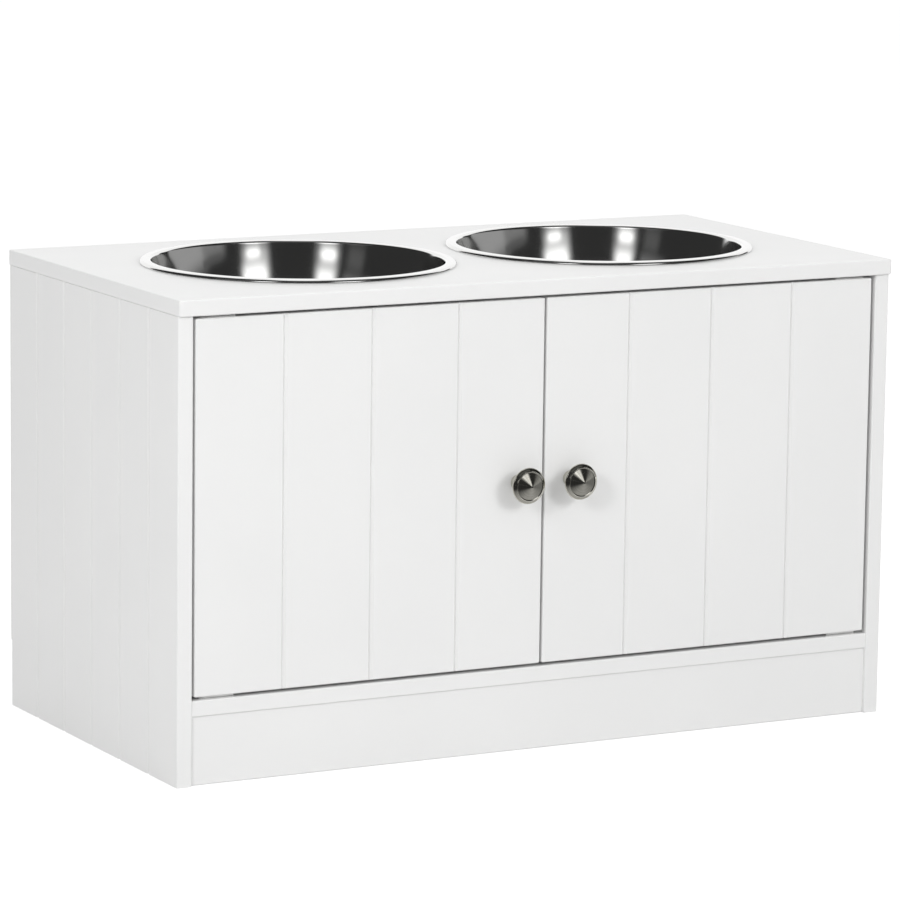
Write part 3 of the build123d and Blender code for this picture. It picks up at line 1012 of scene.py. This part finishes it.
@dataclass
class Bowl:
    """A spun steel bowl with a sloping flange.

    Attributes:
        side: The side that it stands on.
        corners: The upper side's corners from the flange's hem to the floor's middle,
            in millimetres, each with its radius, its height over the top and its bend.
        wall: The steel's thickness.
        bend_segments: The number of segments in each bend.
        steps: The number of steps in its full turn.
        sharp_angle: The angle from which an edge is sharp, in degrees.
    """

    side: Side
    corners: Outline = (
        (119.2, 0.15, 0.0),
        (119.2, 2.6, 2.4),
        (110.7, 3.04, 2.4),
        (107.1, -17.8, 190.0),
        (90.0, -62.8, 22.0),
        (0.0, -62.8, 0.0),
    )
    wall: float = 0.8 * MM
    bend_segments: int = 12
    steps: int = 256
    sharp_angle: float = 50.0

    def build(self) -> None:
        """Spins the bowl and finishes it."""
        node = f"{self.side.value}_bowl"
        low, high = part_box(node)
        centre = (Vector(low) + Vector(high)) / 2
        centre.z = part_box("top_panel")[1][2]
        bowl = self.spun(f"{node}_spinning", centre)
        SpunSteel(f"spun_mirror_steel_{self.side.value}", tuple(centre)).coat(bowl)
        fit(bowl, f"{node}_body", "bowl_steel", node)

    def spun(self, name: str, centre: Vector) -> bpy.types.Object:
        """Spins the sheet and gives it its thickness.

        Args:
            name: The piece's name.
            centre: The axis's foot.

        Returns:
            The new piece.
        """
        line = rounded(self.corners, self.bend_segments)
        bowl = turned(name, line, centre, UP, self.steps, self.sharp_angle)
        mesh = bowl.data
        solid = bmesh.new()
        solid.from_mesh(mesh)
        middle = min(solid.faces, key=lambda face: (face.calc_center_median() - centre).xy.length)
        if middle.normal.z < 0:
            bmesh.ops.reverse_faces(solid, faces=solid.faces)
        solid.to_mesh(mesh)
        solid.free()
        sheet = bowl.modifiers.new("steel_sheet", "SOLIDIFY")
        sheet.thickness = self.wall
        sheet.offset = -1.0
        return bowl


@dataclass
class Fittings:
    """The hinges, catches and hidden fixings, which keep their own meshes."""

    def build(self) -> None:
        """Dresses every fitting."""
        sides = [side.value for side in Side]
        plate = BrushedPlate()
        leaves = [f"{side}_{level}_cabinet_hinge_leaf" for side in sides for level in LEVELS]
        dress(leaves + ["hinge_pins"], plate)
        dress([f"{side}_catch_pole_plates" for side in sides], plate)
        dress([f"{side}_catch_housing" for side in sides], MouldedPlastic())
        dress([f"{side}_catch_magnet" for side in sides], Ferrite())
        dress(["cabinet_hinge_screws", "catch_screws"], PlatedScrew())
        dress(["side_panel_cams", "shelf_cams", "plinth_cams"], CastZinc())
        bolts = ["top_cam_bolts", "shelf_cam_bolts", "plinth_cam_bolts"]
        dress(bolts + ["back_panel_nails"], PlatedScrew())
        dress(["top_dowels"], Beech("beech_upright", grain=Grain.ALONG_Z))
        dress(["shelf_dowels", "plinth_dowels"], Beech())


# ---- The studio ----


@dataclass
class Softbox:
    """A soft lamp that points at the feeder.

    Attributes:
        name: The lamp's name.
        azimuth: Its direction round the feeder, from the front to the right, in degrees.
        elevation: Its height above the horizon, in degrees.
        distance: Its distance from the feeder's middle.
        width: Its width.
        height: Its height.
        power: Its power, in watts.
    """

    name: str
    azimuth: float
    elevation: float
    distance: float
    width: float
    height: float
    power: float

    def build(self, target: Vector) -> None:
        """Hangs the lamp.

        Args:
            target: The point that it faces.
        """
        lamp = bpy.data.lights.new(self.name, "AREA")
        lamp.shape = "RECTANGLE"
        lamp.size = self.width
        lamp.size_y = self.height
        lamp.energy = self.power
        holder = bpy.data.objects.new(self.name, lamp)
        bpy.context.scene.collection.objects.link(holder)
        turn, rise = math.radians(self.azimuth), math.radians(self.elevation)
        away = Vector(
            (math.sin(turn) * math.cos(rise), -math.cos(turn) * math.cos(rise), math.sin(rise))
        )
        holder.location = target + away * self.distance
        holder.rotation_euler = away.to_track_quat("Z", "Y").to_euler()
        holder.visible_camera = False
        holder.visible_glossy = False


@dataclass(frozen=True)
class Patch:
    """A soft-edged part of the room that polished metal reflects.

    Attributes:
        azimuth: Its middle, in degrees from the front to the right.
        elevation: Its middle's height above the horizon, in degrees.
        width: Its half width, in degrees.
        height: Its half height, in degrees.
        edge: The width of its soft edge, in degrees.
        level: Its brightness, where 1 is white.
    """

    azimuth: float
    elevation: float
    width: float
    height: float
    edge: float
    level: float

    def mask(self, bench: Bench, azimuth: Signal, elevation: Signal) -> Signal:
        """How much of the patch shows, from 0 to 1.

        Args:
            bench: The room's node tree.
            azimuth: The direction round the feeder, in degrees.
            elevation: The height above the horizon, in degrees.

        Returns:
            The share.
        """
        across = bench.maths("ABSOLUTE", azimuth - self.azimuth, 0.0)
        along = bench.maths("ABSOLUTE", elevation - self.elevation, 0.0)
        soft = self.edge / 2
        in_width = 1 - across.limited(self.width - soft, self.width + soft)
        return in_width * (1 - along.limited(self.height - soft, self.height + soft))


@dataclass
class ReflectedRoom:
    """What polished metal sees round the feeder: a white back, dark sides and windows.

    Attributes:
        reach: The room's distance from the feeder's middle.
        back_level: The brightness of the room behind the feeder.
        patches: The room's parts, each laid over those before it.
        floor_start: Where the darker floor starts in front of the feeder.
        floor_near: The floor's brightness close to the feeder.
        floor_far: Its brightness away from the feeder.
        floor_right: Its brightness away to the feeder's right.
        floor_fade: The distance over which it darkens.
        right_start: The share of X in a direction from which the right brightness mixes in.
        right_full: The share of X from which it is all there.
        card_lift: The darker floor's height.
    """

    reach: float = 5.4
    back_level: float = 1.05
    patches: tuple[Patch, ...] = (
        Patch(-27.0, 38.8, 131.0, 43.0, 8.0, 0.03),
        Patch(-20.0, 41.8, 60.0, 10.0, 6.0, 0.1),
        Patch(-76.0, 17.8, 7.0, 5.0, 7.0, 0.1),
        Patch(-80.0, 28.8, 12.0, 4.0, 6.0, 0.17),
        Patch(80.0, 5.8, 26.0, 10.0, 9.0, 0.34),
        Patch(46.0, 5.8, 11.0, 9.0, 8.0, 0.22),
        Patch(49.0, 15.6, 10.0, 1.4, 2.0, 0.1),
        Patch(109.0, 6.8, 9.0, 7.0, 3.0, 0.02),
        Patch(8.5, 22.3, 11.0, 8.0, 8.0, 0.62),
        Patch(10.0, 17.1, 5.5, 1.3, 6.0, 2.2),
        Patch(11.0, 28.0, 10.5, 4.4, 9.0, 1.9),
        Patch(-52.0, 21.8, 9.0, 8.0, 9.0, 0.4),
        Patch(-52.5, 18.1, 6.0, 2.2, 7.0, 2.0),
        Patch(-52.0, 29.3, 7.5, 4.4, 9.0, 1.6),
    )
    floor_start: float = 0.15
    floor_near: float = 0.55
    floor_far: float = 0.03
    floor_right: float = 0.2
    floor_fade: float = 0.85
    right_start: float = 0.55
    right_full: float = 0.9
    card_lift: float = 0.5 * MM

    def build(self, target: Vector) -> None:
        """Hangs the room and lays its floor.

        Args:
            target: The room's middle.
        """
        self.hang_dome(target)
        self.lay_card()

    def hang_dome(self, target: Vector) -> None:
        """Hangs the dome.

        Args:
            target: Its middle.
        """
        dome = bmesh.new()
        bmesh.ops.create_uvsphere(dome, u_segments=48, v_segments=32, radius=self.reach)
        bmesh.ops.translate(dome, verts=dome.verts, vec=target)
        bench = Bench("reflected_room_cloth")
        where = bench.place(centre=tuple(target))
        axes = bench.node("ShaderNodeSeparateXYZ", None, {"Vector": where}).outputs
        along_x, along_y, along_z = (Signal(bench, axis) for axis in axes)
        degrees = math.degrees(1.0)
        azimuth = bench.maths("ARCTAN2", along_x, 0 - along_y) * degrees
        elevation = bench.maths("ARCSINE", along_z / self.reach, 0.0) * degrees
        level: Union[float, Signal] = self.back_level
        for patch in self.patches:
            level = level + (patch.level - level) * patch.mask(bench, azimuth, elevation)
        self.show_to_metal(piece_from(dome, "reflected_room"), bench, level)

    def lay_card(self) -> None:
        """Lays the darker floor in front of the feeder."""
        card = bmesh.new()
        bmesh.ops.create_grid(card, x_segments=2, y_segments=2, size=self.reach)
        shift = Vector((0.0, -self.reach - self.floor_start, self.card_lift))
        bmesh.ops.translate(card, verts=card.verts, vec=shift)
        bench = Bench("reflected_floor_cloth")
        where = bench.place()
        length = bench.node("ShaderNodeVectorMath", {"operation": "LENGTH"}, {0: where})
        away = Signal(bench, length.outputs["Value"])
        axes = bench.node("ShaderNodeSeparateXYZ", None, {"Vector": where}).outputs
        along_x = Signal(bench, axes["X"])
        near = 1 - away.limited(self.floor_start, self.floor_start + self.floor_fade)
        right = (along_x / away).limited(self.right_start, self.right_full)
        far = right * (self.floor_right - self.floor_far) + self.floor_far
        level = far + near * near * (self.floor_near - far)
        self.show_to_metal(piece_from(card, "reflected_floor"), bench, level)

    def show_to_metal(self, piece: bpy.types.Object, bench: Bench, level: Link) -> None:
        """Lights a piece for reflections alone.

        Args:
            piece: The piece.
            bench: Its material's node tree.
            level: Its brightness, where 1 is white.
        """
        glow = bench.node("ShaderNodeEmission", None, {"Color": WHITE, "Strength": level})
        bench.node("ShaderNodeOutputMaterial", None, {"Surface": glow.outputs["Emission"]})
        piece.data.materials.append(bench.material)
        piece.visible_camera = False
        piece.visible_diffuse = False
        piece.visible_transmission = False
        piece.visible_shadow = False


@dataclass
class Studio:
    """The pale floor, the white surround, the lamps and the camera.

    Attributes:
        room_light: The surround's strength on dull surfaces.
        floor_reach: The floor's half width.
        floor_colour: The floor's colour.
        floor_glow: The floor's own light in the camera and in reflections.
        camera_place: The camera's place, in metres.
        camera_turn: The camera's turn about x, y and z, in degrees.
        lens: The lens, in millimetres.
        sensor: The sensor's width, in millimetres.
        middle_height: The height of the point that the lamps face.
    """

    room_light: float = 0.678
    floor_reach: float = 30.0
    floor_colour: float = 0.66
    floor_glow: float = 0.58
    camera_place: tuple[float, float, float] = (-1.71852, -3.20485, 0.82345)
    camera_turn: tuple[float, float, float] = (80.34042, -0.72424, -28.0315)
    lens: float = 192.24
    sensor: float = 36.0
    middle_height: float = 0.18

    def build(self) -> None:
        """Builds the whole studio."""
        self.lay_floor()
        self.light_surround()
        middle = UP * self.middle_height
        lamps = [
            Softbox("front_softbox", 14.0, 22.0, 3.0, 0.95, 0.75, 20.2),
            Softbox("left_softbox", -51.0, 23.0, 2.0, 0.4, 0.4, 8.8),
            Softbox("overhead_softbox", 150.0, 78.0, 2.2, 1.0, 1.0, 5.6),
        ]
        for lamp in lamps:
            lamp.build(middle)
        ReflectedRoom().build(middle)
        self.set_camera()
        bpy.context.scene.view_settings.view_transform = "Standard"

    def lay_floor(self) -> None:
        """Lays the pale floor, which looks white in the camera and keeps the shadow."""
        sheet = bmesh.new()
        bmesh.ops.create_grid(sheet, x_segments=4, y_segments=4, size=self.floor_reach)
        floor = piece_from(sheet, "studio_floor")
        bench = Bench("studio_floor_paper")
        dull = bench.node(
            "ShaderNodeBsdfDiffuse", None, {"Color": (self.floor_colour,) * 3 + (1.0,)}
        ).outputs["BSDF"]
        path = bench.node("ShaderNodeLightPath")
        seen = bench.maths("MAXIMUM", path.outputs["Is Camera Ray"], path.outputs["Is Glossy Ray"])
        seen = bench.maths("MAXIMUM", seen, path.outputs["Is Transmission Ray"])
        glow = bench.node(
            "ShaderNodeEmission", None, {"Color": WHITE, "Strength": seen * self.floor_glow}
        ).outputs["Emission"]
        both = bench.node("ShaderNodeAddShader", None, {0: dull, 1: glow})
        bench.node("ShaderNodeOutputMaterial", None, {"Surface": both.outputs["Shader"]})
        floor.data.materials.append(bench.material)

    def light_surround(self) -> None:
        """Makes the surround white to the camera and softer on dull surfaces."""
        world = bpy.data.worlds.new("studio_surround")
        bpy.context.scene.world = world
        world.use_nodes = True
        tree = world.node_tree
        tree.nodes.clear()
        path = tree.nodes.new("ShaderNodeLightPath")
        diffuse = path.outputs["Is Diffuse Ray"]
        strength = tree.nodes.new("ShaderNodeMapRange")
        strength.inputs["To Min"].default_value = 1.0
        strength.inputs["To Max"].default_value = self.room_light
        tree.links.new(diffuse, strength.inputs["Value"])
        sky = tree.nodes.new("ShaderNodeBackground")
        sky.inputs["Color"].default_value = WHITE
        tree.links.new(strength.outputs["Result"], sky.inputs["Strength"])
        end = tree.nodes.new("ShaderNodeOutputWorld")
        tree.links.new(sky.outputs["Background"], end.inputs["Surface"])

    def set_camera(self) -> None:
        """Sets up the camera."""
        lens = bpy.data.cameras.new("studio_camera")
        lens.lens = self.lens
        lens.sensor_width = self.sensor
        lens.clip_end = 100.0
        camera = bpy.data.objects.new("studio_camera", lens)
        bpy.context.scene.collection.objects.link(camera)
        camera.location = self.camera_place
        camera.rotation_euler = [math.radians(turn) for turn in self.camera_turn]
        bpy.context.scene.camera = camera


def main() -> None:
    """Builds the feeder and the studio."""
    logging.basicConfig(level=logging.INFO, format="%(name)s %(message)s")
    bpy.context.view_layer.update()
    Carcass().build()
    for side in Side:
        Door(side).build()
        Knob(side).build()
        Bowl(side).build()
    Fittings().build()
    Studio().build()


if __name__ == "__main__":
    main()
